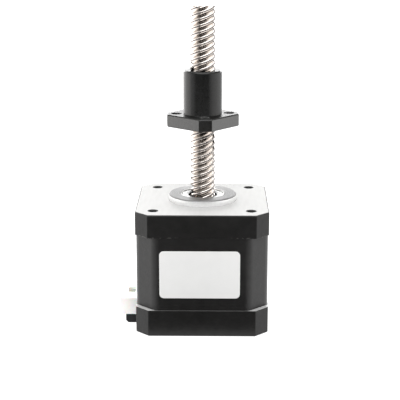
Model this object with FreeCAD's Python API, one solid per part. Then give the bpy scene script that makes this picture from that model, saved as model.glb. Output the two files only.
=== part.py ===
import FreeCAD
import Part
import math
import os

# Hybrid stepper motor whose shaft is a lead screw with a flange nut.
# The origin is the centre of the mounting face, on the screw axis. +Z runs out along the screw,
# the label faces -Y and the connector faces -X. Lengths are in millimetres, angles in degrees.

# End caps
frame_width = 42.3
cap_corner_cut = 4.1
face_edge_cut = 0.3
cap_side_wall = 2.55
screw_post_wall = 0.2
front_cap_height = 7.5
rear_cap_height = 8.7
rear_floor_thickness = 1.8
rear_web_thickness = 1.0
rear_hole_diameter = 7.2

# Mounting face
pilot_diameter = 22.0
pilot_height = 2.0
pilot_edge_cut = 0.35
pilot_shoulder = 0.25
pilot_taper = 0.3
pilot_lip_height = 1.0
pilot_lip_width = 0.8
mount_hole_inset = 5.65
mount_hole_diameter = 2.5
mount_hole_depth = 4.5
mount_hole_countersink = 0.45

# Housing screws, in the mounting holes from behind
housing_screw_diameter = 3.0
housing_screw_clearance = 0.1
housing_screw_end_gap = 0.1
screw_head_diameter = 5.5
screw_head_height = 1.6
screw_head_clearance = 0.25

# Ball bearings
bearing_bore = 5.0
bearing_diameter = 16.0
bearing_width = 5.0
bearing_ring_wall = 1.25
bearing_hub_wall = 2.2
shield_inset = 0.2
ring_clearance = 0.2
washer_thickness = 0.5
washer_width = 2.2
washer_clearance = 0.3

# Rotor
rotor_tooth_count = 50
tooth_depth = 0.6
tooth_share = 0.48
rotor_end_inset = 0.1
magnet_length = 2.6
magnet_inset = 1.0
spacer_wall = 1.1

# Stator stack
stack_length = 23.8
cap_overhang = 0.15
stator_corner_cut = 6.0
stator_edge_radius = 3.5
air_gap = 0.1
pole_count = 8
teeth_per_pole = 6
shoe_wall = 0.55
shoe_slope = 0.5

# Bobbins and coils
bobbin_plate = 1.0
bobbin_wall = 0.5
bobbin_ledge = 0.4
bobbin_clearance = 0.2
bobbin_seat = 1.0
bobbin_end_clearance = 0.1
bobbin_flange_gap = 0.9
bobbin_flange_thickness = 0.7
bobbin_arm_margin = 0.4
coil_depth = 3.75
coil_build = 2.2
coil_neighbour_gap = 0.6
coil_end_gap = 0.2
coil_clearance = 0.1
coil_corner_cut = 1.2

# Connector and terminal board
shelf_reach = 3.95
shelf_tongue = 3.15
shelf_tongue_thickness = 1.1
shelf_edge_cut = 0.8
notch_clearance = 0.1
header_width = 17.4
header_reach = 5.75
header_depth = 7.0
header_wall = 0.8
header_back_wall = 1.5
header_stack_gap = 0.2
window_width = 4.8
window_length = 2.4
window_inset = 2.2
pin_count = 6
pin_pitch = 2.5
pin_size = 0.64
pin_recess = 1.3
pin_tail = 1.2
board_thickness = 1.2
board_clearance = 0.3
board_tab_margin = 0.6
terminal_size = 0.6
terminal_count = 4
terminal_end = 0.3

# Label
label_thickness = 0.1
label_corner = 1.4
label_left_margin = 1.6
label_right_margin = 3.0
label_end_margin = 4.15

# Lead screw
screw_diameter = 8.0
screw_reach = 63.0
screw_end_cut = 0.5
collar_diameter = 7.0
collar_length = 0.8
shaft_end_gap = 0.2

# Flange nut
nut_bottom = 24.4
nut_height = 18.0
nut_body_diameter = 12.4
nut_body_edge_cut = 0.4
nut_flange_thickness = 4.0
nut_flange_margin = 3.6
nut_flange_corner_cut = 2.9
nut_edge_cut = 0.3
nut_hole_diameter = 3.4
nut_hole_gap = 0.585
nut_turn = 50.0
nut_bore_clearance = 0.08

# Levels along the axis
stack_top = -front_cap_height
stack_bottom = stack_top - stack_length
stack_middle = (stack_top + stack_bottom) / 2
body_bottom = stack_bottom - rear_cap_height
rear_floor = body_bottom + rear_floor_thickness
front_bearing_top = pilot_height - pilot_lip_height
front_bearing_bottom = front_bearing_top - bearing_width
rear_pocket_floor = body_bottom + rear_web_thickness
rear_bearing_bottom = rear_pocket_floor + washer_thickness
rear_bearing_top = rear_bearing_bottom + bearing_width
rotor_top = stack_top - rotor_end_inset
rotor_bottom = stack_bottom + rotor_end_inset
magnet_top = stack_middle + magnet_length / 2
magnet_bottom = stack_middle - magnet_length / 2
bobbin_flange_height = front_bearing_bottom - stack_top - bobbin_end_clearance
coil_end_build = bobbin_flange_height - bobbin_plate - coil_end_gap
rear_hub_top = stack_bottom - bobbin_flange_height - bobbin_end_clearance
shelf_top = rear_floor + shelf_tongue_thickness
board_top = shelf_top + board_thickness
header_top = stack_bottom - header_stack_gap
nut_flange_top = nut_bottom + nut_flange_thickness
nut_top = nut_bottom + nut_height

# Radii and half widths
frame_half = frame_width / 2
stator_half = frame_half - cap_overhang
stator_flat_half = stator_half - stator_corner_cut
pilot_radius = pilot_diameter / 2
pilot_seat_radius = pilot_radius - pilot_shoulder
mount_hole_radius = mount_hole_diameter / 2
mount_hole_spacing = frame_width - 2 * mount_hole_inset
housing_screw_radius = housing_screw_diameter / 2
screw_hole_radius = housing_screw_radius + housing_screw_clearance
screw_head_radius = screw_head_diameter / 2
screw_seat_radius = screw_head_radius + screw_head_clearance
cavity_half = frame_half - cap_side_wall
cavity_diagonal = mount_hole_spacing / math.sqrt(2) - screw_seat_radius - screw_post_wall
cavity_corner_cut = 2 * cavity_half - cavity_diagonal * math.sqrt(2)
bearing_radius = bearing_diameter / 2
hub_radius = bearing_radius + bearing_hub_wall
journal_radius = bearing_bore / 2
inner_ring_radius = journal_radius + bearing_ring_wall
outer_ring_bore = bearing_radius - bearing_ring_wall
washer_radius = bearing_radius - washer_clearance
washer_bore = washer_radius - washer_width
screw_radius = screw_diameter / 2

# Radial chain from the cap's wall in to the rotor
pole_pitch = 360.0 / pole_count
half_pole_slope = math.tan(math.radians(pole_pitch / 2))
bobbin_half = min(cavity_half, cavity_diagonal) - bobbin_clearance
slot_half = bobbin_half - bobbin_seat
bobbin_wall_face = slot_half - bobbin_ledge
coil_end = bobbin_wall_face - coil_clearance
coil_start = coil_end - coil_depth
flange_outside = coil_start - coil_clearance
flange_inside = flange_outside - bobbin_flange_thickness
neck_start = flange_outside - bobbin_flange_thickness / 2
shoe_radius = neck_start - shoe_slope
stator_root_radius = shoe_radius - shoe_wall
stator_bore_radius = stator_root_radius - tooth_depth
rotor_radius = stator_bore_radius - air_gap
tooth_pitch = 360.0 / rotor_tooth_count
tooth_half_angle = tooth_share * tooth_pitch / 2
flange_half = flange_inside * half_pole_slope - bobbin_flange_gap
coil_half = coil_start * half_pole_slope - coil_neighbour_gap
coil_bore_half = coil_half - coil_build
arm_half = coil_bore_half - coil_clearance / 2
neck_half = arm_half - bobbin_arm_margin

# Connector
header_half = header_width / 2
header_mouth = -frame_half - header_reach
header_back = header_mouth + header_depth
header_inside = header_back - header_back_wall
notch_half = header_half + notch_clearance
notch_inside = max(-cavity_half, notch_half - cavity_diagonal * math.sqrt(2))
pin_level = (shelf_top + header_top) / 2
pin_foot = header_back + pin_tail

# Nut flange, around its holes
nut_body_radius = nut_body_diameter / 2
nut_hole_radius = nut_hole_diameter / 2
nut_hole_spacing = (nut_body_radius + nut_hole_gap + nut_hole_radius) * math.sqrt(2)
nut_flange_half = nut_hole_spacing / 2 + nut_flange_margin

AXIS = FreeCAD.Vector(0, 0, 1)
CENTRE = FreeCAD.Vector(0, 0, 0)


def point(x, y, z=0.0):
    return FreeCAD.Vector(x, y, z)


def polar(radius, angle):
    turn = math.radians(angle)
    return point(radius * math.cos(turn), radius * math.sin(turn))


def box(x0, x1, y0, y1, z0, z1):
    return Part.makeBox(x1 - x0, y1 - y0, z1 - z0, point(x0, y0, z0))


def cylinder(radius, bottom, top, x=0.0, y=0.0):
    return Part.makeCylinder(radius, top - bottom, point(x, y, bottom))


def ring(bore, radius, bottom, top):
    return cylinder(radius, bottom, top).cut(cylinder(bore, bottom, top))


def sleeve(wall, bottom, top):
    """Ring of a given wall on the screw's journal."""
    return ring(journal_radius, journal_radius + wall, bottom, top)


def turned(outline):
    """Solid of revolution about the screw axis, from its closed outline of (radius, height) pairs."""
    corners = [point(radius, 0, height) for radius, height in outline]
    return Part.Face(Part.makePolygon(corners + corners[:1])).revolve(CENTRE, AXIS, 360)


def prism(corners, bottom, top):
    """Upright solid on the closed outline of corner points."""
    base = [point(corner.x, corner.y, bottom) for corner in corners]
    return Part.Face(Part.makePolygon(base + base[:1])).extrude(point(0, 0, top - bottom))


def turned_about_axis(shape, angle):
    copy = shape.copy()
    copy.rotate(CENTRE, AXIS, angle)
    return copy


def around(shape, count, start=0.0):
    """Equally spaced copies of a shape round the screw axis."""
    return [turned_about_axis(shape, start + i * 360.0 / count) for i in range(count)]


def square_corners(half, cut):
    """Corner points of a square with its four corners cut at 45 degrees."""
    flat = half - cut
    reach = math.hypot(half, flat)
    lean = math.degrees(math.atan2(flat, half))
    return [polar(reach, 90 * i + side * lean) for i in range(4) for side in (-1, 1)]


def regular_corners(flat_distance, count):
    """Corner points of a regular polygon with a flat towards +X."""
    half_turn = 180.0 / count
    reach = flat_distance / math.cos(math.radians(half_turn))
    return [polar(reach, (2 * i + 1) * half_turn) for i in range(count)]


def rim_edges(shape, level):
    """Edges of a shape that lie flat at one height."""
    return [edge for edge in shape.Edges
            if abs(edge.BoundBox.ZMin - level) < 1e-6 and abs(edge.BoundBox.ZMax - level) < 1e-6]


def upright_edges(shape):
    """Edges of a shape that stand along the screw axis."""
    return [edge for edge in shape.Edges if edge.BoundBox.DiagonalLength - edge.BoundBox.ZLength < 1e-6]


def corner_places(spacing):
    return [(sx * spacing / 2, sy * spacing / 2) for sx in (-1, 1) for sy in (-1, 1)]


def make_front_cap():
    """Cast plate with the machined mounting face, round the pilot ring's seat."""
    cap = prism(square_corners(frame_half, cap_corner_cut), stack_top, 0.0)
    cap = cap.makeChamfer(face_edge_cut, rim_edges(cap, 0.0))
    cap = cap.cut(prism(square_corners(cavity_half, cavity_corner_cut), stack_top, front_bearing_bottom))
    cap = cap.cut(cylinder(pilot_seat_radius, front_bearing_bottom, 0.0))
    cap = cap.cut(Part.makeCone(pilot_seat_radius, pilot_radius, pilot_taper, point(0, 0, -pilot_taper)))
    for x, y in corner_places(mount_hole_spacing):
        sink = Part.makeCone(mount_hole_radius, mount_hole_radius + mount_hole_countersink,
                             mount_hole_countersink, point(x, y, -mount_hole_countersink))
        cap = cap.cut(cylinder(mount_hole_radius, -mount_hole_depth, 0.0, x, y).fuse(sink))
        cap = cap.cut(cylinder(housing_screw_radius, stack_top, -mount_hole_depth, x, y))
    return cap


def make_pilot_ring():
    """Turned ring with the front bearing seat, pressed in up to the taper under its pilot boss."""
    opening_radius = bearing_radius - pilot_lip_width
    return turned([
        (pilot_seat_radius, front_bearing_bottom),
        (pilot_seat_radius, -pilot_taper),
        (pilot_radius, 0.0),
        (pilot_radius, pilot_height - pilot_edge_cut),
        (pilot_radius - pilot_edge_cut, pilot_height),
        (opening_radius, pilot_height),
        (opening_radius, front_bearing_top),
        (bearing_radius, front_bearing_top),
        (bearing_radius, front_bearing_bottom),
    ])


def make_rear_cap():
    """Cast cap with the rear bearing seat, screw seats and a notch for the connector."""
    cap = prism(square_corners(frame_half, cap_corner_cut), body_bottom, stack_bottom)
    cap = cap.makeChamfer(face_edge_cut, rim_edges(cap, body_bottom))
    cap = cap.cut(prism(square_corners(cavity_half, cavity_corner_cut), rear_floor, stack_bottom))
    cap = cap.fuse(cylinder(hub_radius, rear_floor, rear_hub_top))
    cap = cap.cut(cylinder(rear_hole_diameter / 2, body_bottom, rear_pocket_floor))
    cap = cap.cut(cylinder(bearing_radius, rear_pocket_floor, rear_hub_top))
    for x, y in corner_places(mount_hole_spacing):
        cap = cap.cut(cylinder(screw_hole_radius, rear_floor, stack_bottom, x, y))
        cap = cap.cut(cylinder(screw_seat_radius, body_bottom, rear_floor, x, y))
    return cap.cut(box(-frame_half, notch_inside, -notch_half, notch_half, rear_floor, stack_bottom))


def lamination_opening():
    """Corner points of the opening of one lamination: pole teeth, shoes, necks and slots."""
    slot_corner = slot_half / math.cos(math.radians(pole_pitch / 2))
    foot = math.hypot(slot_half, neck_half), math.degrees(math.atan2(neck_half, slot_half))
    throat = math.hypot(neck_start, neck_half), math.degrees(math.atan2(neck_half, neck_start))
    last = (teeth_per_pole - 1) / 2 * tooth_pitch
    corners = []
    for pole in range(pole_count):
        middle = pole * pole_pitch
        corners.append(polar(foot[0], middle - foot[1]))
        corners.append(polar(throat[0], middle - throat[1]))
        corners.append(polar(shoe_radius, middle - last - tooth_half_angle))
        for tooth in range(teeth_per_pole):
            tip = middle - last + tooth * tooth_pitch
            if tooth:
                corners.append(polar(stator_root_radius, tip - tooth_pitch + tooth_half_angle))
                corners.append(polar(stator_root_radius, tip - tooth_half_angle))
            corners.append(polar(stator_bore_radius, tip - tooth_half_angle))
            corners.append(polar(stator_bore_radius, tip + tooth_half_angle))
        corners.append(polar(shoe_radius, middle + last + tooth_half_angle))
        corners.append(polar(throat[0], middle + throat[1]))
        corners.append(polar(foot[0], middle + foot[1]))
        corners.append(polar(slot_corner, middle + pole_pitch / 2))
    return corners


def make_stator_core():
    """Laminated stack with cut and rounded corners and toothed poles inside."""
    core = prism(square_corners(stator_half, stator_corner_cut), stack_bottom, stack_top)
    core = core.makeFillet(stator_edge_radius, upright_edges(core))
    core = core.cut(prism(lamination_opening(), stack_bottom, stack_top))
    for x, y in corner_places(mount_hole_spacing):
        core = core.cut(cylinder(screw_hole_radius, stack_bottom, stack_top, x, y))
    return core


def make_bobbin():
    """Insulator for the front end of the stack: a ring with an arm and two winding flanges on each pole."""
    level = stack_top + bobbin_plate
    height = stack_top + bobbin_flange_height
    plate = prism(regular_corners(bobbin_half, pole_count), stack_top, level)
    plate = plate.cut(prism(regular_corners(bobbin_wall_face, pole_count), stack_top, level))
    arm = box(flange_inside, bobbin_wall_face, -arm_half, arm_half, stack_top, level)
    inner_flange = box(flange_inside, flange_outside, -flange_half, flange_half, stack_top, height)
    outer_flange = box(bobbin_wall_face, bobbin_wall_face + bobbin_wall, -coil_half, coil_half,
                       stack_top, height)
    finger = arm.multiFuse([inner_flange, outer_flange])
    return plate.multiFuse(around(finger, pole_count)).removeSplitter()


def to_rear_end(shape):
    """The same piece at the other end of the stack."""
    copy = shape.copy()
    copy.rotate(point(0, 0, stack_middle), point(1, 0, 0), 180)
    return copy


def make_coil():
    """Winding round the neck of the pole that points along +X."""
    bore_half = stack_length / 2 + bobbin_plate
    half_height = bore_half + coil_end_build
    block = box(coil_start, coil_end, -coil_half, coil_half,
                stack_middle - half_height, stack_middle + half_height)
    long_edges = [edge for edge in block.Edges
                  if edge.BoundBox.DiagonalLength - edge.BoundBox.XLength < 1e-6]
    block = block.makeChamfer(coil_corner_cut, long_edges)
    return block.cut(box(coil_start, coil_end, -coil_bore_half, coil_bore_half,
                         stack_middle - bore_half, stack_middle + bore_half))


def make_winding_terminals():
    """Square posts that carry the winding ends from the rear bobbin to the terminal board."""
    half = terminal_size / 2
    place = (bobbin_wall_face + bobbin_wall + bobbin_half) / 2
    post = box(place - half, place + half, -half, half,
               shelf_top - terminal_end, stack_bottom - bobbin_plate)
    return around(post, terminal_count, 180.0 / terminal_count)


def make_connector_pins():
    """Square pins bent from the header down into the terminal board."""
    half = pin_size / 2
    pins = []
    for i in range(pin_count):
        y = (i - (pin_count - 1) / 2) * pin_pitch
        bar = box(header_mouth + pin_recess, pin_foot + half, y - half, y + half,
                  pin_level - half, pin_level + half)
        leg = box(pin_foot - half, pin_foot + half, y - half, y + half, shelf_top, pin_level)
        pins.append(bar.fuse(leg).removeSplitter())
    return pins


def make_terminal_board(pins, terminals):
    """Ring board in the rear cap with a tab under the header pins."""
    half = cavity_half - board_clearance
    cut = 2 * half - (cavity_diagonal - board_clearance) * math.sqrt(2)
    board = prism(square_corners(half, cut), shelf_top, board_top)
    tab_half = header_half - board_tab_margin
    tab = box(pin_foot - pin_size / 2 - board_tab_margin, 0.0, -tab_half, tab_half, shelf_top, board_top)
    board = board.fuse(tab).removeSplitter()
    board = board.cut(prism(regular_corners(hub_radius + board_clearance, pole_count), shelf_top, board_top))
    return board.cut(pins + terminals)


def make_connector_shelf():
    """Plastic carrier hooked over the edge of the rear cap, under the header."""
    block = box(-frame_half - shelf_reach, -frame_half, -header_half, header_half, body_bottom, shelf_top)
    outer = [edge for edge in rim_edges(block, body_bottom)
             if edge.BoundBox.XMax < -frame_half - shelf_reach + 1e-6]
    block = block.makeChamfer(shelf_edge_cut, outer)
    tongue = box(-frame_half, -frame_half + shelf_tongue, -header_half, header_half, rear_floor, shelf_top)
    return block.fuse(tongue).removeSplitter()


def make_connector_housing(pins):
    """Shrouded header with its mouth towards -X and a latch window in its upper wall."""
    body = box(header_mouth, header_back, -header_half, header_half, shelf_top, header_top)
    inner_half = header_half - header_wall
    body = body.cut(box(header_mouth, header_inside, -inner_half, inner_half,
                        shelf_top + header_wall, header_top - header_wall))
    window_start = header_mouth + window_inset
    body = body.cut(box(window_start, window_start + window_length, -window_width / 2, window_width / 2,
                        header_top - header_wall, header_top))
    return body.cut(pins)


def make_label():
    """Rounded rectangle on the front of the stack."""
    plate = box(label_left_margin - stator_flat_half, stator_flat_half - label_right_margin,
                -stator_half - label_thickness, -stator_half,
                stack_bottom + label_end_margin, stack_top - label_end_margin)
    corners = [edge for edge in plate.Edges
               if edge.BoundBox.DiagonalLength - edge.BoundBox.YLength < 1e-6]
    return plate.makeFillet(label_corner, corners)


def make_housing_screws():
    """Four long screws from the rear cap into the threaded holes of the front cap."""
    screws = []
    for x, y in corner_places(mount_hole_spacing):
        head = cylinder(screw_head_radius, rear_floor - screw_head_height, rear_floor, x, y)
        shank = cylinder(housing_screw_radius, rear_floor, -mount_hole_depth - housing_screw_end_gap, x, y)
        screws.append(head.fuse(shank))
    return screws


def make_bearing_case(outside, inside):
    """Outer ring of a shielded bearing with the shield and the balls behind it, up to the inner ring."""
    inward = math.copysign(1, inside - outside)
    bore = inner_ring_radius + ring_clearance
    shield_face = outside + inward * shield_inset
    return turned([
        (bearing_radius, outside),
        (bearing_radius, inside),
        (bore, inside),
        (bore, shield_face),
        (outer_ring_bore, shield_face),
        (outer_ring_bore, outside),
    ])


def make_rotor_core(bottom, top, turn):
    """Toothed rotor core; turn sets its teeth half a pitch from the other core's."""
    root = rotor_radius - tooth_depth
    corners = []
    for tooth in range(rotor_tooth_count):
        tip = tooth * tooth_pitch + turn
        corners.append(polar(root, tip - tooth_half_angle))
        corners.append(polar(rotor_radius, tip - tooth_half_angle))
        corners.append(polar(rotor_radius, tip + tooth_half_angle))
        corners.append(polar(root, tip + tooth_half_angle))
    return prism(corners, bottom, top).cut(cylinder(journal_radius, bottom, top))


def make_lead_screw():
    """Screw with its collar on the front bearing and the journal that carries the rotor."""
    collar_top = front_bearing_top + collar_length
    return turned([
        (0, rear_bearing_bottom + shaft_end_gap),
        (journal_radius, rear_bearing_bottom + shaft_end_gap),
        (journal_radius, front_bearing_top),
        (collar_diameter / 2, front_bearing_top),
        (collar_diameter / 2, collar_top),
        (screw_radius, collar_top),
        (screw_radius, screw_reach - screw_end_cut),
        (screw_radius - screw_end_cut, screw_reach),
        (0, screw_reach),
    ])


def make_flange_nut():
    """Plastic nut: round body on a square flange with cut corners and four holes."""
    outline = square_corners(nut_flange_half, nut_flange_corner_cut)
    flange = prism(outline, nut_bottom, nut_flange_top)
    rims = rim_edges(flange, nut_flange_top) + rim_edges(flange, nut_bottom)
    flange = flange.makeChamfer(nut_edge_cut, rims)
    body = cylinder(nut_body_radius, nut_bottom, nut_top)
    body = body.makeChamfer(nut_body_edge_cut, rim_edges(body, nut_top))
    nut = flange.fuse(body)
    for x, y in corner_places(nut_hole_spacing):
        nut = nut.cut(cylinder(nut_hole_radius, nut_bottom, nut_flange_top, x, y))
    nut = nut.cut(cylinder(screw_radius + nut_bore_clearance, nut_bottom, nut_top))
    return turned_about_axis(nut.removeSplitter(), nut_turn)


def make_pieces():
    pins = make_connector_pins()
    terminals = make_winding_terminals()
    bobbin = make_bobbin()
    pieces = {
        "front_cap": make_front_cap(),
        "pilot_ring": make_pilot_ring(),
        "rear_cap": make_rear_cap(),
        "stator_core": make_stator_core(),
        "front_bobbin": bobbin,
        "rear_bobbin": to_rear_end(bobbin),
        "winding_terminals": Part.makeCompound(terminals),
        "terminal_board": make_terminal_board(pins, terminals),
        "connector_shelf": make_connector_shelf(),
        "connector_housing": make_connector_housing(pins),
        "connector_pins": Part.makeCompound(pins),
        "label": make_label(),
        "housing_screws": Part.makeCompound(make_housing_screws()),
        "preload_washer": ring(washer_bore, washer_radius, rear_pocket_floor, rear_bearing_bottom),
        "front_bearing_case": make_bearing_case(front_bearing_top, front_bearing_bottom),
        "rear_bearing_case": make_bearing_case(rear_bearing_bottom, rear_bearing_top),
        "front_bearing_inner_ring": sleeve(bearing_ring_wall, front_bearing_bottom, front_bearing_top),
        "rear_bearing_inner_ring": sleeve(bearing_ring_wall, rear_bearing_bottom, rear_bearing_top),
        "rotor_magnet": ring(journal_radius, rotor_radius - magnet_inset, magnet_bottom, magnet_top),
        "rotor_front_core": make_rotor_core(magnet_top, rotor_top, 0.0),
        "rotor_rear_core": make_rotor_core(rotor_bottom, magnet_bottom, tooth_pitch / 2),
        "front_spacer": sleeve(spacer_wall, rotor_top, front_bearing_bottom),
        "rear_spacer": sleeve(spacer_wall, rear_bearing_top, rotor_bottom),
        "lead_screw": make_lead_screw(),
        "flange_nut": make_flange_nut(),
    }
    for i, coil in enumerate(around(make_coil(), pole_count)):
        pieces["coil_%d" % (i + 1)] = coil
    return pieces


os.makedirs("parts", exist_ok=True)
for name, shape in make_pieces().items():
    shape.exportStep("parts/%s.step" % name)
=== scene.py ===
"""Looks, light and camera of the lead screw stepper motor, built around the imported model.

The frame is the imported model's: the origin is the centre of the mounting face on the screw axis,
+Z runs out along the screw, the label faces -Y and the connector faces -X. Sizes are in millimetres,
which MM turns into metres. Only the lamps, cards and camera at the end are placed in metres.
"""
import math

import bmesh
import bpy
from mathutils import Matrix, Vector


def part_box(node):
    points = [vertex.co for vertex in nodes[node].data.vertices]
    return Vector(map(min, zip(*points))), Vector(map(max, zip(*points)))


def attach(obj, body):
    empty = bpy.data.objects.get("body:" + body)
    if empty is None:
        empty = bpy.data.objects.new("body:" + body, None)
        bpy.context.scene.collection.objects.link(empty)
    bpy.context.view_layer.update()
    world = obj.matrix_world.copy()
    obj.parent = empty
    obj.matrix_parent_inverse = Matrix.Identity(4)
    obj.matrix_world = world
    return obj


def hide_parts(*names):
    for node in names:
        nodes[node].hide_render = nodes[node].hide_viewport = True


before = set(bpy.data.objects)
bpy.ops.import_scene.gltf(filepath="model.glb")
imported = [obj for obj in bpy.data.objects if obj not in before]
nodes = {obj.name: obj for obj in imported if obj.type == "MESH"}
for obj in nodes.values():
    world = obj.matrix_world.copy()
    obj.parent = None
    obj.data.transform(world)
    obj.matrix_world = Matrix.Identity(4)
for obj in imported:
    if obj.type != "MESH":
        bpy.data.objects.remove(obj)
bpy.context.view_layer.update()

MM = 0.001
TAU = 2 * math.pi


def lowest(node, axis):
    """Lowest coordinate of a CAD node along x, y or z, in millimetres rounded to a micrometre."""
    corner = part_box(node)[0]
    return round(getattr(corner, axis) / MM, 3)


def highest(node, axis):
    """Highest coordinate of a CAD node along x, y or z, in millimetres rounded to a micrometre."""
    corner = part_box(node)[1]
    return round(getattr(corner, axis) / MM, 3)


# Places and sizes that the frame gives
FRAME_HALF = highest("front_cap", "x")
BODY_BOTTOM = lowest("rear_cap", "z")
STACK_TOP = highest("stator_core", "z")
STACK_BOTTOM = lowest("stator_core", "z")
PILOT_TOP = highest("pilot_ring", "z")
BEARING_RADIUS = highest("front_bearing_case", "x")
BEARING_TOP = highest("front_bearing_case", "z")
BEARING_BOTTOM = lowest("front_bearing_case", "z")
NUT_TOP = highest("flange_nut", "z")
NUT_BOTTOM = lowest("flange_nut", "z")
SCREW_END = highest("lead_screw", "z")
JOURNAL_END = lowest("lead_screw", "z")
SHANK_END = highest("housing_screws", "z")
HEAD_FACE = lowest("housing_screws", "z")

# Other sizes of the solids. A mounting hole is within HOLE_REACH of HOLE_PLACE along x and y
POLE_COUNT = 8
STACK_FLAT_HALF = 15.0
HOLE_PLACE = 15.5
HOLE_REACH = 1.72
PILOT_EDGE = 0.4
NUT_BODY_RADIUS = 6.2

# Screw thread: four starts, right-handed, with a seam along each crest
THREAD_PITCH = 2.0
THREAD_STARTS = 4
THREAD_LEAD = THREAD_PITCH * THREAD_STARTS
THREAD_CREST = highest("lead_screw", "x")
THREAD_ROOT = 3.05
CREST_HALF = 0.22
ROOT_HALF = 0.08
SEAM_DEPTH = 0.09
SEAM_HALF = 0.16
SCREW_START = 1.2
SCREW_END_CUT = 0.5
COLLAR_RADIUS = 3.5
COLLAR_BOTTOM = highest("front_bearing_inner_ring", "z")
JOURNAL_RADIUS = 2.5

# Thread in the nut's bore
NUT_THREAD_CLEARANCE = 0.06
NUT_THREAD_OUTSIDE = 4.3
NUT_THREAD_INSET = 0.1

# Shield of the front bearing, in the opening of the boss's lip
SHIELD_DROP = 0.2
SHIELD_TOP = PILOT_TOP - SHIELD_DROP
SHIELD_RADIUS = 7.08

# Housing screws
SHANK_RADIUS = 1.5
SHANK_TIP_RADIUS = 1.2
SHANK_TIP_CUT = 0.3
HEAD_RADIUS = highest("housing_screws", "x") - HOLE_PLACE
HEAD_HEIGHT = 1.6
HEAD_SEAT = HEAD_FACE + HEAD_HEIGHT
HEAD_ROUNDING = 0.5
HEAD_SHOULDER = 0.15
RECESS_DEPTH = 0.9

# Points on a full circle, and on a housing screw's
TURN_POINTS = 80
SCREW_POINTS = 32


# Materials

NOISE_DETAIL = 3.0


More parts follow.
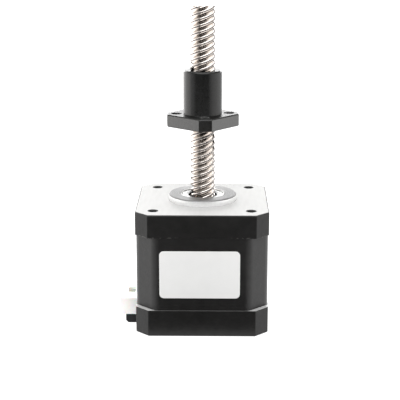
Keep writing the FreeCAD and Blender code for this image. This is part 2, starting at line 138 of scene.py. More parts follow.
class Finish:
    """One procedural material, put together node by node on a Principled shader."""

    def __init__(self, name, **constants):
        """Sets the shader's constant sockets, whose names have _ for a space."""
        self.material = bpy.data.materials.new(name)
        self.material.use_nodes = True
        self.tree = self.material.node_tree
        self.shader = self.tree.nodes["Principled BSDF"]
        for socket, value in constants.items():
            self.shader.inputs[socket.replace("_", " ")].default_value = value
        self.place = self.node("ShaderNodeTexCoord").outputs["Object"]
        self.normal = None

    def node(self, kind, **settings):
        """New node of a kind, with its settings."""
        made = self.tree.nodes.new(kind)
        for key, value in settings.items():
            setattr(made, key, value)
        return made

    def link(self, source, target):
        """Joins an output to an input."""
        self.tree.links.new(source, target)

    def stretched(self, scale):
        """Object coordinates stretched along each axis."""
        mapping = self.node("ShaderNodeMapping")
        mapping.inputs["Scale"].default_value = scale
        self.link(self.place, mapping.inputs["Vector"])
        return mapping.outputs["Vector"]

    def noise(self, size, stretch=None):
        """Soft noise whose grains are about size millimetres across."""
        made = self.node("ShaderNodeTexNoise")
        made.inputs["Scale"].default_value = 1 / (size * MM)
        made.inputs["Detail"].default_value = NOISE_DETAIL
        self.link(self.stretched(stretch) if stretch else self.place, made.inputs["Vector"])
        return made.outputs["Fac"]

    def wave(self, pitch, kind="BANDS", axis="Z", distortion=0.0):
        """Lines pitch millimetres apart, across an axis or as rings round it."""
        made = self.node("ShaderNodeTexWave", wave_type=kind)
        if kind == "BANDS":
            made.bands_direction = axis
        else:
            made.rings_direction = axis
        # At scale 1 the lines are pi / 10 metres apart
        made.inputs["Scale"].default_value = math.pi / (10 * pitch * MM)
        made.inputs["Distortion"].default_value = distortion
        self.link(self.place, made.inputs["Vector"])
        return made.outputs["Fac"]

    def radius(self):
        """Distance from the screw axis, in millimetres."""
        made = self.node("ShaderNodeVectorMath", operation="LENGTH")
        self.link(self.stretched((1 / MM, 1 / MM, 0.0)), made.inputs[0])
        return made.outputs["Value"]

    def sizes(self):
        """Distances from the three planes through the origin, in millimetres, without their signs."""
        made = self.node("ShaderNodeVectorMath", operation="ABSOLUTE")
        self.link(self.stretched((1 / MM, 1 / MM, 1 / MM)), made.inputs[0])
        parts = self.node("ShaderNodeSeparateXYZ")
        self.link(made.outputs["Vector"], parts.inputs["Vector"])
        return parts.outputs

    def corner(self):
        """Smaller of the distances from the two planes through the screw axis, in millimetres."""
        sizes = self.sizes()
        return self.joined("MINIMUM", sizes["X"], sizes["Y"])

    def joined(self, operation, a, b):
        """Two factors put together, by MULTIPLY, MINIMUM or MAXIMUM."""
        made = self.node("ShaderNodeMath", operation=operation)
        self.link(a, made.inputs[0])
        self.link(b, made.inputs[1])
        return made.outputs[0]

    def line_at(self, value, middle, half):
        """1 where a value lies within half of the middle, else 0."""
        made = self.node("ShaderNodeMath", operation="COMPARE")
        self.link(value, made.inputs[0])
        made.inputs[1].default_value = middle
        made.inputs[2].default_value = half
        return made.outputs[0]

    def between(self, value, low, high):
        """0 to 1 as a value goes from low to high."""
        made = self.node("ShaderNodeMapRange")
        made.inputs["From Min"].default_value = low
        made.inputs["From Max"].default_value = high
        self.link(value, made.inputs["Value"])
        return made.outputs["Result"]

    def colour(self, factor, *stops):
        """Base colour along a factor, from (position, colour) stops."""
        made = self.node("ShaderNodeValToRGB")
        marks = made.color_ramp.elements
        for i, (position, value) in enumerate(stops):
            # A new ramp has two marks
            mark = marks[i] if i < 2 else marks.new(position)
            mark.position = position
            mark.color = (*value, 1.0)
        self.link(factor, made.inputs["Fac"])
        self.link(made.outputs["Color"], self.shader.inputs["Base Color"])

    def roughness(self, factor, low, high):
        """Roughness from low to high along a factor."""
        made = self.node("ShaderNodeMapRange")
        made.inputs["To Min"].default_value = low
        made.inputs["To Max"].default_value = high
        self.link(factor, made.inputs["Value"])
        self.link(made.outputs["Result"], self.shader.inputs["Roughness"])

    def bump(self, height, depth):
        """Adds relief of depth millimetres to what is there."""
        made = self.node("ShaderNodeBump")
        made.inputs["Strength"].default_value = 1.0
        made.inputs["Distance"].default_value = depth * MM
        self.link(height, made.inputs["Height"])
        if self.normal:
            self.link(self.normal, made.inputs["Normal"])
        self.normal = made.outputs["Normal"]
        self.link(self.normal, self.shader.inputs["Normal"])

    def tangent(self):
        """Turning marks run round the screw axis."""
        made = self.node("ShaderNodeTangent", direction_type="RADIAL", axis="Z")
        self.link(made.outputs["Tangent"], self.shader.inputs["Tangent"])


def cap_paint():
    """Black satin coat on the die-cast caps, rubbed thin in specks along the front cap's lower edge."""
    f = Finish("cap_paint", Specular_IOR_Level=0.29)
    rim = f.line_at(f.sizes()["Z"], -STACK_TOP, 0.35)
    rubbed = f.joined("MULTIPLY", rim, f.between(f.noise(1.3), 0.47, 0.57))
    f.colour(f.joined("MAXIMUM", f.noise(2.5), rubbed), (0.3, (0.0095, 0.0093, 0.0090)),
             (0.7, (0.0145, 0.0142, 0.0138)), (0.85, (0.0145, 0.0142, 0.0138)), (1.0, (0.06, 0.058, 0.055)))
    f.roughness(f.noise(0.8), 0.34, 0.46)
    f.bump(f.noise(0.8), 0.04)
    return f.material


def stack_paint():
    """Black lacquer over the laminations, whose sheets show as fine lines."""
    f = Finish("stack_paint", Specular_IOR_Level=0.46)
    f.colour(f.noise(2.0), (0.3, (0.0075, 0.0072, 0.0070)), (0.7, (0.0125, 0.0120, 0.0117)))
    f.roughness(f.noise(0.9), 0.34, 0.48)
    f.bump(f.wave(0.5), 0.012)
    f.bump(f.noise(0.8), 0.035)
    return f.material


def machined_face():
    """Bare aluminium, milled flat and matt."""
    f = Finish("machined_face", Metallic=0.02, Specular_IOR_Level=0.05)
    f.colour(f.noise(1.2, stretch=(1, 0.15, 1)), (0.25, (0.45, 0.45, 0.445)), (0.75, (0.485, 0.485, 0.48)))
    f.roughness(f.noise(0.6), 0.5, 0.6)
    f.bump(f.wave(0.22, kind="RINGS", distortion=1.0), 0.002)
    return f.material


def turned_aluminium():
    """Bare aluminium, turned on a lathe."""
    f = Finish("turned_aluminium", Metallic=0.6, Anisotropic=0.4)
    f.colour(f.noise(0.7), (0.25, (0.84, 0.84, 0.84)), (0.75, (0.92, 0.92, 0.91)))
    f.roughness(f.noise(1.5), 0.26, 0.38)
    f.bump(f.wave(0.16, kind="RINGS"), 0.004)
    f.bump(f.wave(0.21), 0.004)
    f.tangent()
    return f.material


def turned_face():
    """Top of the pilot boss, turned with a fine feed that dulls it, with painted shade: its aluminium is
    coloured dark grey, in rings.
    """
    f = Finish("turned_face", Metallic=1.0, Anisotropic=0.3)
    rings = f.wave(0.55, kind="RINGS", distortion=0.6)
    # Painted shade: dark grey in rings, on aluminium that is pale on the wall
    f.colour(rings, (0.1, (0.18, 0.18, 0.18)), (0.8, (0.235, 0.235, 0.235)))
    f.roughness(f.noise(0.8), 0.5, 0.62)
    f.bump(f.wave(0.16, kind="RINGS"), 0.004)
    f.tangent()
    return f.material


def hole_shadow():
    """Dark tapped hole."""
    f = Finish("hole_shadow", Specular_IOR_Level=0.2)
    f.colour(f.wave(0.5), (0.2, (0.010, 0.010, 0.010)), (0.8, (0.03, 0.03, 0.03)))
    f.roughness(f.noise(0.5), 0.5, 0.65)
    f.bump(f.wave(0.5), 0.06)
    return f.material


def bare_ledge():
    """Rim of the rear cap's casting, bare where the corners stand out and darker grey along the flats."""
    f = Finish("bare_ledge", Metallic=0.1, Specular_IOR_Level=0.2)
    bare = f.between(f.corner(), STACK_FLAT_HALF - 0.4, STACK_FLAT_HALF + 0.6)
    f.colour(bare, (0.0, (0.13, 0.13, 0.13)), (1.0, (0.42, 0.42, 0.42)))
    f.roughness(f.noise(0.4), 0.3, 0.45)
    return f.material


def label_paper():
    """Pale satin film of the label, left bare."""
    f = Finish("label_paper", Specular_IOR_Level=0.3)
    f.colour(f.noise(4.0), (0.3, (0.84, 0.84, 0.83)), (0.7, (0.86, 0.86, 0.85)))
    f.roughness(f.noise(0.5), 0.48, 0.58)
    f.bump(f.noise(0.25), 0.003)
    return f.material


def header_plastic():
    """Natural nylon of the connector's housing."""
    f = Finish("header_plastic", Subsurface_Weight=0.25, Subsurface_Scale=0.001)
    f.colour(f.noise(2.0), (0.3, (0.84, 0.84, 0.815)), (0.7, (0.88, 0.88, 0.855)))
    f.roughness(f.noise(0.7), 0.38, 0.5)
    f.bump(f.noise(0.3), 0.004)
    return f.material


def shelf_plastic():
    """Black glass-filled plastic of the connector's shelf."""
    f = Finish("shelf_plastic", Specular_IOR_Level=0.2)
    f.colour(f.noise(1.5), (0.3, (0.006, 0.006, 0.007)), (0.7, (0.011, 0.011, 0.012)))
    f.roughness(f.noise(0.5, stretch=(1, 0.3, 1)), 0.4, 0.55)
    f.bump(f.noise(0.25), 0.004)
    return f.material


def board_laminate():
    """Green solder mask over woven glass."""
    f = Finish("board_laminate", Specular_IOR_Level=0.4)
    weave = f.joined("MULTIPLY", f.wave(0.4, axis="X"), f.wave(0.4, axis="Y"))
    f.colour(weave, (0.0, (0.010, 0.075, 0.030)), (1.0, (0.018, 0.110, 0.045)))
    f.roughness(f.noise(0.8), 0.3, 0.42)
    f.bump(weave, 0.004)
    return f.material


def contact_tin():
    """Tin plating of the connector's pins."""
    f = Finish("contact_tin", Metallic=0.8)
    f.colour(f.noise(0.6), (0.3, (0.82, 0.83, 0.73)), (0.7, (0.90, 0.91, 0.81)))
    f.roughness(f.noise(0.4), 0.35, 0.5)
    f.bump(f.noise(0.15, stretch=(0.2, 1, 1)), 0.003)
    return f.material


def contact_brass():
    """Brass of terminals and spacers."""
    f = Finish("contact_brass", Metallic=1.0)
    f.colour(f.noise(0.6), (0.3, (0.62, 0.48, 0.24)), (0.7, (0.74, 0.60, 0.34)))
    f.roughness(f.noise(0.4), 0.25, 0.4)
    f.bump(f.noise(0.15, stretch=(0.2, 1, 1)), 0.003)
    return f.material


def ground_steel():
    """Ground bearing steel."""
    f = Finish("ground_steel", Metallic=1.0, Anisotropic=0.5)
    f.colour(f.noise(0.8), (0.3, (0.62, 0.62, 0.63)), (0.7, (0.76, 0.76, 0.77)))
    f.roughness(f.noise(0.9), 0.14, 0.26)
    f.bump(f.wave(0.12, kind="RINGS"), 0.002)
    f.tangent()
    return f.material


def shield_steel():
    """Pressed shield and ring of the front bearing, a little dull, with painted shade: darker towards the
    screw, brighter towards its rim.
    """
    f = Finish("shield_steel", Metallic=0.5)
    rim = f.between(f.radius(), SHIELD_RADIUS - 1.5, SHIELD_RADIUS - 0.5)
    # Painted shade: the steel is coloured darker towards the screw and lighter towards the rim
    f.colour(rim, (0.0, (0.17, 0.17, 0.168)), (1.0, (0.48, 0.48, 0.47)))
    f.roughness(f.noise(0.8), 0.34, 0.46)
    f.bump(f.wave(0.14, kind="RINGS"), 0.003)
    return f.material


def painted_gap_shade():
    """Painted shade: near-black colour in the bearing's gaps."""
    f = Finish("painted_gap_shade", Specular_IOR_Level=0.3)
    f.colour(f.noise(0.5), (0.3, (0.010, 0.009, 0.008)), (0.7, (0.03, 0.028, 0.025)))
    f.roughness(f.noise(0.4), 0.4, 0.6)
    f.bump(f.noise(0.3), 0.01)
    return f.material


def screw_steel():
    """Rolled stainless screw, with painted shade: its colour darkens in the grooves and is lightest on the
    crests.
    """
    f = Finish("screw_steel", Metallic=1.0)
    depth = f.between(f.radius(), THREAD_ROOT, THREAD_CREST)
    # Painted shade: the colour darkens towards the root of the thread and is lightest on the crests
    f.colour(depth, (0.02, (0.24, 0.21, 0.185)), (0.16, (0.80, 0.75, 0.71)), (0.9, (0.90, 0.85, 0.81)))
    f.roughness(f.noise(0.6, stretch=(1, 1, 0.4)), 0.12, 0.2)
    f.bump(f.noise(0.2, stretch=(1, 1, 0.25)), 0.003)
    return f.material


def painted_seam_shade():
    """Painted shade: dark colour in the rolled seam along the screw's crests."""
    f = Finish("painted_seam_shade", Metallic=0.5)
    f.colour(f.noise(0.5), (0.3, (0.12, 0.102, 0.093)), (0.7, (0.18, 0.155, 0.142)))
    f.roughness(f.noise(0.4), 0.35, 0.5)
    f.bump(f.noise(0.2), 0.003)
    return f.material


def zinc_steel():
    """Zinc-plated steel of screws and washer."""
    f = Finish("zinc_steel", Metallic=1.0)
    f.colour(f.noise(0.9), (0.3, (0.46, 0.46, 0.47)), (0.7, (0.62, 0.62, 0.64)))
    f.roughness(f.noise(0.5), 0.28, 0.42)
    f.bump(f.noise(0.2), 0.004)
    return f.material


def rotor_iron():
    """Stacked electrical steel."""
    f = Finish("rotor_iron", Metallic=1.0)
    f.colour(f.wave(0.5), (0.1, (0.16, 0.16, 0.16)), (0.6, (0.36, 0.36, 0.36)))
    f.roughness(f.noise(0.6), 0.35, 0.5)
    f.bump(f.wave(0.5), 0.01)
    return f.material


def magnet_grey():
    """Sintered magnet."""
    f = Finish("magnet_grey", Metallic=0.8)
    f.colour(f.noise(0.4), (0.3, (0.16, 0.16, 0.17)), (0.7, (0.26, 0.26, 0.27)))
    f.roughness(f.noise(0.3), 0.4, 0.55)
    f.bump(f.noise(0.2), 0.006)
    return f.material


def bobbin_plastic():
    """Pale moulded insulator."""
    f = Finish("bobbin_plastic")
    f.colour(f.noise(2.0), (0.3, (0.66, 0.63, 0.54)), (0.7, (0.74, 0.71, 0.62)))
    f.roughness(f.noise(0.7), 0.4, 0.52)
    f.bump(f.noise(0.3), 0.004)
    return f.material


def winding_copper():
    """Enamelled wire, wound side by side, with painted shade between the turns."""
    f = Finish("winding_copper", Metallic=1.0, Coat_Weight=0.6, Coat_Roughness=0.2)
    wires = f.wave(0.35, kind="RINGS")
    # Painted shade: darker colour in the hollows between turns, where the bump dips
    f.colour(wires, (0.1, (0.30, 0.09, 0.03)), (0.7, (0.66, 0.27, 0.10)))
    f.roughness(f.noise(0.8), 0.25, 0.38)
    f.bump(wires, 0.06)
    return f.material


def nut_plastic():
    """Black acetal of the nut's turned body."""
    f = Finish("nut_plastic", Specular_IOR_Level=0.36)
    f.colour(f.noise(1.6), (0.3, (0.0045, 0.0045, 0.0043)), (0.7, (0.008, 0.008, 0.0077)))
    f.roughness(f.noise(0.8), 0.25, 0.32)
    f.bump(f.wave(0.18, kind="RINGS"), 0.002)
    f.bump(f.wave(0.24), 0.002)
    return f.material


def milled_plastic():
    """Milled sides of the nut's flange, with painted light: the same black acetal as the body, coloured
    paler.
    """
    f = Finish("milled_plastic", IOR=1.8, Specular_IOR_Level=0.45)
    # Painted light: a paler copy of the body's black
    f.colour(f.noise(0.8, stretch=(1, 1, 0.2)), (0.3, (0.010, 0.010, 0.0095)), (0.7, (0.018, 0.018, 0.017)))
    f.roughness(f.noise(0.6), 0.24, 0.34)
    f.bump(f.noise(0.25, stretch=(0.2, 0.2, 1)), 0.003)
    return f.material


def faced_plastic():
    """Upper faces of the nut, cut square and less shiny than its turned body, with painted light: coloured
    a little paler than the body.
    """
    f = Finish("faced_plastic", Specular_IOR_Level=0.04)
    # Painted light: a little paler than the body's black
    f.colour(f.noise(1.2), (0.3, (0.007, 0.007, 0.0067)), (0.7, (0.012, 0.012, 0.0115)))
    f.roughness(f.noise(0.7), 0.27, 0.35)
    f.bump(f.wave(0.2, kind="RINGS"), 0.002)
    return f.material


def studio_floor():
    """Pale matt floor."""
    f = Finish("studio_floor", Specular_IOR_Level=0.0, Emission_Color=(1, 1, 1, 1), Emission_Strength=1.0)
    f.colour(f.noise(60.0), (0.3, (0.26, 0.26, 0.26)), (0.7, (0.28, 0.28, 0.28)))
    f.roughness(f.noise(20.0), 0.8, 0.9)
    return f.material


def card_cloth(name, grey):
    """Matt cloth of a card."""
    f = Finish(name, Specular_IOR_Level=0.0)
    f.colour(f.noise(2.0), (0.3, (grey, grey, grey)), (0.7, (1.3 * grey, 1.3 * grey, 1.3 * grey)))
    f.roughness(f.noise(1.0), 0.85, 0.95)
    return f.material


# CAD nodes

WELD_DISTANCE = 0.001
FLAT_ANGLE = 1.0
EDGE_ANGLE = 35.0
EDGE_SEGMENTS = 2


def dress(name, *finishes, choose=None, edge=None):
    """Gives a CAD node its finishes. choose picks one for each face from its centre in millimetres
    and its normal, and edge rounds the node's edges by that many millimetres."""
    piece = nodes[name]
    piece.data.materials.clear()
    for finish in finishes:
        piece.data.materials.append(finish)
    if choose:
        for face in piece.data.polygons:
            face.material_index = choose(face.center / MM, face.normal)
    if edge:
        piece.modifiers.new("weld", "WELD").merge_threshold = WELD_DISTANCE * MM
        flat = piece.modifiers.new("flat", "DECIMATE")
        flat.decimate_type = "DISSOLVE"
        flat.angle_limit = math.radians(FLAT_ANGLE)
        flat.delimit = {"MATERIAL"}
        bevel = piece.modifiers.new("edge", "BEVEL")
        bevel.limit_method = "ANGLE"
        bevel.angle_limit = math.radians(EDGE_ANGLE)
        bevel.width = edge * MM
        bevel.segments = EDGE_SEGMENTS
        bevel.use_clamp_overlap = False


# A normal's z for a face that looks up, leans up or is no longer upright, and slack for its place
LOOKS_UP = 0.9
LEANS_UP = 0.3
NOT_UPRIGHT = 0.5
SLACK = 0.1


def face_or_side(centre, normal):
    """Front cap: 0 painted sides, 1 machined top, 2 holes and the edge round the top."""
    if normal.z > LOOKS_UP:
        return 1
    from_hole = max(abs(abs(centre.x) - HOLE_PLACE), abs(abs(centre.y) - HOLE_PLACE))
    return 2 if from_hole < HOLE_REACH or normal.z > LEANS_UP else 0


def boss_or_wall(centre, normal):
    """Pilot ring: 0 turned wall, 1 dull top with its edge cut, coloured in painted shade."""
    return 1 if normal.z > LEANS_UP and centre.z > PILOT_TOP - PILOT_EDGE else 0


def body_or_flange(centre, normal):
    """Flange nut: 0 turned body, 1 milled sides of the flange, 2 upper faces."""
    if normal.z > LOOKS_UP:
        return 2
    outside = math.hypot(centre.x, centre.y) > NUT_BODY_RADIUS + SLACK
    return 1 if outside and abs(normal.z) < NOT_UPRIGHT else 0


def ledge_or_side(centre, normal):
    """Rear cap: 0 painted, 1 rim under the stack."""
    return 1 if normal.z > LOOKS_UP and centre.z > STACK_BOTTOM - SLACK else 0


black_cap = cap_paint()
black_nut = nut_plastic()
steel_screw = screw_steel()
steel_bearing = ground_steel()
steel_zinc = zinc_steel()
brass = contact_brass()
iron = rotor_iron()
bobbin = bobbin_plastic()
copper = winding_copper()

dress("front_cap", black_cap, machined_face(), hole_shadow(), choose=face_or_side, edge=0.12)
dress("pilot_ring", turned_aluminium(), turned_face(), choose=boss_or_wall, edge=0.08)
dress("rear_cap", black_cap, bare_ledge(), choose=ledge_or_side, edge=0.15)
dress("stator_core", stack_paint())
dress("label", label_paper(), edge=0.03)
dress("connector_housing", header_plastic(), edge=0.12)
dress("connector_shelf", shelf_plastic(), edge=0.15)
dress("connector_pins", contact_tin(), edge=0.08)
dress("terminal_board", board_laminate())
dress("winding_terminals", brass)
dress("flange_nut", black_nut, milled_plastic(), faced_plastic(), choose=body_or_flange, edge=0.12)
dress("housing_screws", steel_zinc)
dress("preload_washer", steel_zinc)
dress("lead_screw", steel_screw)
dress("rotor_magnet", magnet_grey())
for end in ("front", "rear"):
    dress("%s_bearing_case" % end, steel_bearing)
    dress("%s_bearing_inner_ring" % end, steel_bearing)
    dress("%s_spacer" % end, brass)
    dress("rotor_%s_core" % end, iron)
    dress("%s_bobbin" % end, bobbin)
for pole in range(POLE_COUNT):
    dress("coil_%d" % (pole + 1), copper)


# Meshes

SMOOTH_ANGLE = 40.0


def ring_of(bm, radius, z, x=0.0, y=0.0, count=TURN_POINTS):
    """Level ring of points, anticlockwise, round the upright line through x and y."""
    turns = [TAU * i / count for i in range(count)]
    return [bm.verts.new(Vector((x + radius * math.cos(turn), y + radius * math.sin(turn), z)) * MM)
            for turn in turns]


def close_ring(bm, ring, z, x=0.0, y=0.0):
    """Flat end over a ring, facing up when the ring runs anticlockwise."""
    middle = bm.verts.new(Vector((x, y, z)) * MM)
    for i, corner in enumerate(ring):
        following = ring[(i + 1) % len(ring)]
        bm.faces.new((corner, following, middle))
        bm.edges.get((corner, following)).tag = True


def bridge(bm, lower, upper, finish=0):
    """Faces between two rings of the same count, facing out when upper is above lower."""
    count = len(lower)
    for i in range(count):
        j = (i + 1) % count
        bm.faces.new((lower[i], lower[j], upper[j], upper[i])).material_index = finish


def add_piece(name, bm, body, slot, *finishes):
    """Turns a bmesh into a piece that rides on a body. Its tagged edges stay sharp."""
    mesh = bpy.data.meshes.new(name)
    bm.normal_update()
    for edge in bm.edges:
        edge.smooth = edge.calc_face_angle(0.0) < math.radians(SMOOTH_ANGLE) and not edge.tag
    for face in bm.faces:
        face.smooth = True
    bm.to_mesh(mesh)
    bm.free()
    piece = bpy.data.objects.new(name, mesh)
    bpy.context.scene.collection.objects.link(piece)
    for finish in finishes:
        mesh.materials.append(finish)
    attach(piece, body)
    return piece


# Screw thread

def thread_radius(phase):
    """Radius at a distance along one pitch: rounded crest, sloped flanks, rounded root."""
    away = abs(phase - THREAD_PITCH / 2)
    flank = (THREAD_PITCH / 2 - ROOT_HALF) - CREST_HALF
    share = min(1.0, max(0.0, (away - CREST_HALF) / flank))
    smooth = share * share * (3 - 2 * share)
    return THREAD_CREST + (THREAD_ROOT - THREAD_CREST) * smooth


def seam_cut(phase):
    """Depth of the fold that rolling leaves along the middle of the crest."""
    return SEAM_DEPTH * max(0.0, 1 - abs(phase - THREAD_PITCH / 2) / SEAM_HALF)


def add_thread(bm, bottom, top, radius_at, inward=False):
    """Skin of a thread, in columns round the axis and quads that follow the helix. radius_at gives the
    radius from the distance along the pitch and the height. Returns the lower and the upper rim."""
    rows = round((top - bottom) / (THREAD_LEAD / TURN_POINTS))
    step = (top - bottom) / rows
    grid = []
    for column in range(TURN_POINTS):
        turn = TAU * column / TURN_POINTS
        line = []
        for row in range(rows + 1):
            z = bottom + row * step
            phase = (z - THREAD_LEAD * column / TURN_POINTS) % THREAD_PITCH
            r = radius_at(phase, z)
            line.append(bm.verts.new(Vector((r * math.cos(turn), r * math.sin(turn), z)) * MM))
        grid.append(line)
    for left, right in zip(grid, grid[1:] + grid[:1]):
        loops = [(left[0], right[0], right[1])]
        loops += [(left[j], right[j + 1], right[j + 2], left[j + 1]) for j in range(rows - 1)]
        loops += [(left[-2], right[-1], left[-1])]
        for loop in loops:
            bm.faces.new(loop[::-1] if inward else loop)
    return [line[0] for line in grid], [line[-1] for line in grid]


def make_screw():
    """Screw with its thread, cut at the end, its collar and the plain shaft through the motor."""
    def radius_at(phase, height):
        end_cut = THREAD_CREST - max(0.0, height - (SCREW_END - SCREW_END_CUT))
        return min(thread_radius(phase) - seam_cut(phase), end_cut)

    bm = bmesh.new()
    above, rim = add_thread(bm, SCREW_START, SCREW_END, radius_at)
    # Faces along each crest's seam take the second finish, painted shade
    for face in bm.faces:
        x, y, z = face.calc_center_median() / MM
        phase = (z - THREAD_LEAD * math.atan2(y, x) / TAU) % THREAD_PITCH
        face.material_index = 1 if abs(phase - THREAD_PITCH / 2) < SEAM_HALF else 0
    close_ring(bm, rim, SCREW_END)
    for radius, z in ((COLLAR_RADIUS, SCREW_START), (COLLAR_RADIUS, COLLAR_BOTTOM),
                      (JOURNAL_RADIUS, COLLAR_BOTTOM), (JOURNAL_RADIUS, JOURNAL_END)):
        below = ring_of(bm, radius, z)
        bridge(bm, below, above)
        above = below
    close_ring(bm, above[::-1], JOURNAL_END)
    piece = add_piece("threaded_screw", bm, "rotor", "screw_steel", steel_screw, painted_seam_shade())
    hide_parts("lead_screw")


def make_nut_thread():
    """Thread in the nut's bore, a little clear of the screw's."""
    def radius_at(phase, _height):
        return thread_radius(phase) + NUT_THREAD_CLEARANCE

    bm = bmesh.new()
    bottom = NUT_BOTTOM + NUT_THREAD_INSET
    top = NUT_TOP - NUT_THREAD_INSET
    inner_foot, inner_rim = add_thread(bm, bottom, top, radius_at, inward=True)
    outer_foot = ring_of(bm, NUT_THREAD_OUTSIDE, bottom)
    outer_rim = ring_of(bm, NUT_THREAD_OUTSIDE, top)
    bridge(bm, outer_foot, outer_rim)
    bridge(bm, inner_foot, outer_foot)
    bridge(bm, outer_rim, inner_rim)
    add_piece("nut_thread", bm, "nut", "nut_plastic", black_nut)


# Front bearing

def lathe(bm, outline):
    """Closed ring turned from an outline of (radius, height, finish), taken anticlockwise. The finish
    is that of the band from the point to the next one."""
    rings = [ring_of(bm, radius, z) for radius, z, _ in outline]
    for i, (_, _, finish) in enumerate(outline):
        bridge(bm, rings[i], rings[(i + 1) % len(rings)], finish)


def make_front_bearing():
    """Bearing under the boss's lip, with a raised shield between two gaps and painted shade in the gaps."""
    steel = 0
    # The gaps' faces take painted shade, near black
    gap_shade = 1
    shield_bore = 4.7
    groove_inside = 6.64
    groove_outside = 6.80
    groove_floor = SHIELD_TOP - 0.4
    case_cut = 0.15
    rim_cut = 0.1
    bead_foot = groove_inside - 0.04
    bead_top = groove_inside - 0.24
    bead_level = SHIELD_TOP - 0.12
    shield_level = SHIELD_TOP - 0.2
    bore_bend = shield_bore + 0.2
    bore_level = SHIELD_TOP - 0.35
    bm = bmesh.new()
    lathe(bm, (
        (shield_bore, BEARING_BOTTOM, steel),
        (BEARING_RADIUS, BEARING_BOTTOM, steel),
        (BEARING_RADIUS, BEARING_TOP - case_cut, steel),
        (BEARING_RADIUS - case_cut, BEARING_TOP, steel),
        (SHIELD_RADIUS, BEARING_TOP, steel),
        (SHIELD_RADIUS, SHIELD_TOP - rim_cut, steel),
        (SHIELD_RADIUS - rim_cut, SHIELD_TOP, steel),
        (groove_outside + rim_cut, SHIELD_TOP, steel),
        (groove_outside, SHIELD_TOP - rim_cut, gap_shade),
        (groove_outside, groove_floor, gap_shade),
        (groove_inside, groove_floor, steel),
        (bead_foot, shield_level, steel),
        (bead_top, bead_level, steel),
        (bore_bend, shield_level, steel),
        (shield_bore, bore_level, gap_shade),
    ))
    piece = add_piece("front_bearing", bm, "motor", "bearing_steel", shield_steel(), painted_gap_shade())
    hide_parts("front_bearing_case")


# Housing screws

def cross_outline(half, reach):
    """Corners of a cross whose arms are 2 half wide and reach out from the middle, anticlockwise."""
    arm = [(reach, -half), (reach, half), (half, half)]
    corners = []
    for _ in range(4):
        corners += arm
        arm = [(-y, x) for x, y in arm]
    return corners


def add_housing_screw(bm, x, y):
    """Long pan head screw that points up, with a cross recess in its head."""
    above = ring_of(bm, SHANK_TIP_RADIUS, SHANK_END, x, y, SCREW_POINTS)
    close_ring(bm, above, SHANK_END, x, y)
    for radius, z in ((SHANK_RADIUS, SHANK_END - SHANK_TIP_CUT), (SHANK_RADIUS, HEAD_SEAT),
                      (HEAD_RADIUS, HEAD_SEAT), (HEAD_RADIUS, HEAD_FACE + HEAD_ROUNDING),
                      (HEAD_RADIUS - HEAD_SHOULDER, HEAD_FACE + HEAD_SHOULDER),
                      (HEAD_RADIUS - HEAD_ROUNDING, HEAD_FACE)):
        below = ring_of(bm, radius, z, x, y, SCREW_POINTS)
        bridge(bm, below, above)
        above = below
    wide = cross_outline(half=0.36, reach=1.4)
    narrow = cross_outline(half=0.22, reach=0.8)
    mouth = [bm.verts.new(Vector((x + u, y + v, HEAD_FACE)) * MM) for u, v in wide]
    floor = [bm.verts.new(Vector((x + u, y + v, HEAD_FACE + RECESS_DEPTH)) * MM) for u, v in narrow]
    bridge(bm, floor, mouth)
    bm.faces.new(floor[::-1])
    rims = [bm.edges.get((ring[i - 1], ring[i])) for ring in (above, mouth) for i in range(len(ring))]
    bmesh.ops.triangle_fill(bm, edges=rims, use_beauty=True)


def make_housing_screws():
    """The four long screws that hold the motor together."""
    bm = bmesh.new()
    for x in (-HOLE_PLACE, HOLE_PLACE):
        for y in (-HOLE_PLACE, HOLE_PLACE):
            add_housing_screw(bm, x, y)
    bmesh.ops.recalc_face_normals(bm, faces=bm.faces[:])
    piece = add_piece("recessed_screws", bm, "motor", "fastener_steel", steel_zinc)
    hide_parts("housing_screws")


make_screw()
make_nut_thread()
make_front_bearing()
make_housing_screws()


# Stage

def add_stage(name, bm, finish):
    """Turns a bmesh into a piece of the stage."""
    mesh = bpy.data.meshes.new(name)
    bm.to_mesh(mesh)
    bm.free()
    mesh.materials.append(finish)
    made = bpy.data.objects.new(name, mesh)
    bpy.context.scene.collection.objects.link(made)
    return made


def make_floor():
    """White sweep: a wide round floor whose rim rises far behind the object."""
    gap = 0.02
    level = BODY_BOTTOM - gap
    flat_radius = 2600.0
    rim = ((2850.0, 40.0), (3000.0, 200.0), (3050.0, 900.0))
    bm = bmesh.new()
    middle = bm.verts.new((0, 0, level * MM))
    inner = ring_of(bm, flat_radius, level)
    for i in range(TURN_POINTS):
        bm.faces.new((inner[i], inner[(i + 1) % TURN_POINTS], middle))
    for radius, rise in rim:
        outer = ring_of(bm, radius, level + rise)
        bridge(bm, outer, inner)
        inner = outer
    for face in bm.faces:
        face.smooth = True
    add_stage("floor", bm, studio_floor())


def add_card(name, corners, finish):
    """Card that the camera does not see and the object mirrors."""
    bm = bmesh.new()
    bm.faces.new([bm.verts.new(corner) for corner in corners])
    add_stage(name, bm, finish).visible_camera = False


def flat_corners(left, right, front, back, level):
    """Corners of a level card, anticlockwise from its front left one."""
    return (left, front, level), (right, front, level), (right, back, level), (left, back, level)


def add_cards():
    """Dark cards in front of the object, flat and upright, that keep its front faces black. Places
    are in metres."""
    black = card_cloth("black_cloth", 0.02)
    grey = card_cloth("grey_cloth", 0.06)
    lift = 0.0005
    gap = 0.004
    level = BODY_BOTTOM * MM + lift
    foot = FRAME_HALF * MM + gap
    near = -0.09
    far = -0.52
    top = 0.22
    add_card("card_foot", flat_corners(-foot, foot, near, -foot, level), black)
    for name, left, right, cloth in (("card_left", -0.55, -0.07, grey), ("card_right", -0.07, 0.46, black)):
        wall = (right, far, level), (left, far, level), (left, far, top), (right, far, top)
        add_card(name + "_floor", flat_corners(left, right, far, near, level), cloth)
        add_card(name + "_wall", wall, cloth)


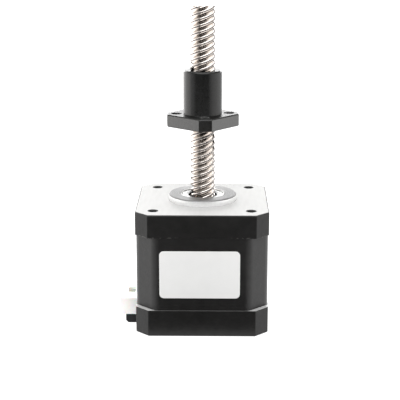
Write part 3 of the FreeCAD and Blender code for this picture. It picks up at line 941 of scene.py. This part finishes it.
def add_panel(name, place, aim, width, height, radiance, colour=(1.0, 1.0, 1.0)):
    """Rectangular soft light whose face has a given radiance. Places and sizes are in metres."""
    light = bpy.data.lights.new(name, "AREA")
    light.color = colour
    light.shape = "RECTANGLE"
    light.size = width
    light.size_y = height
    light.energy = radiance * math.pi * width * height
    lamp = bpy.data.objects.new(name, light)
    lamp.location = place
    lamp.rotation_mode = "QUATERNION"
    lamp.rotation_quaternion = (Vector(aim) - Vector(place)).to_track_quat("-Z", "Y")
    lamp.visible_camera = False
    bpy.context.scene.collection.objects.link(lamp)


def add_panels():
    """Lamps behind, above and in front of the object, and a warm one on each side."""
    middle = (0.0, 0.0, 0.0)
    beside = (0.0, 0.0, 0.085)
    warm = (1.0, 0.97, 0.94)
    add_panel("panel_back", (0.0, 1.2, 0.37), (0.0, 0.0, 0.02), width=1.8, height=0.42, radiance=6.0)
    add_panel("panel_top", (0.0, 0.1, 0.9), middle, width=1.0, height=1.0, radiance=2.0)
    add_panel("panel_front", (0.0, -0.75, 0.75), middle, width=1.4, height=0.8, radiance=3.4)
    add_panel("panel_left", (-0.215, 0.10, 0.085), beside, width=0.40, height=0.25, radiance=1.4,
              colour=warm)
    add_panel("panel_right", (0.251, -0.018, 0.085), beside, width=0.28, height=0.25, radiance=0.63,
              colour=warm)


def add_camera():
    """Camera in front of the label and a little above it. Places are in metres, the lens in millimetres."""
    azimuth = math.radians(0.66)
    elevation = math.radians(14.52)
    distance = 0.379
    aim_right = -0.000866
    aim_up = -0.000469
    back = Vector((math.sin(azimuth) * math.cos(elevation), -math.cos(azimuth) * math.cos(elevation),
                   math.sin(elevation)))
    right = Vector((math.cos(azimuth), math.sin(azimuth), 0.0))
    up = back.cross(right)
    eye = back * distance
    aim = right * aim_right + up * aim_up
    data = bpy.data.cameras.new("camera")
    data.sensor_width = 36.0
    data.lens = 104.0
    data.clip_start = 0.01
    data.clip_end = 200.0
    camera = bpy.data.objects.new("camera", data)
    camera.location = eye
    camera.rotation_mode = "QUATERNION"
    camera.rotation_quaternion = (aim - eye).to_track_quat("-Z", "Y")
    bpy.context.scene.collection.objects.link(camera)
    bpy.context.scene.camera = camera


def set_world():
    """Even white light from all round."""
    world = bpy.data.worlds.new("studio")
    world.use_nodes = True
    background = world.node_tree.nodes["Background"]
    background.inputs["Color"].default_value = (1.0, 1.0, 1.0, 1.0)
    background.inputs["Strength"].default_value = 0.35
    bpy.context.scene.world = world


make_floor()
add_panels()
add_cards()
add_camera()
set_world()
bpy.context.scene.view_settings.view_transform = "Standard"
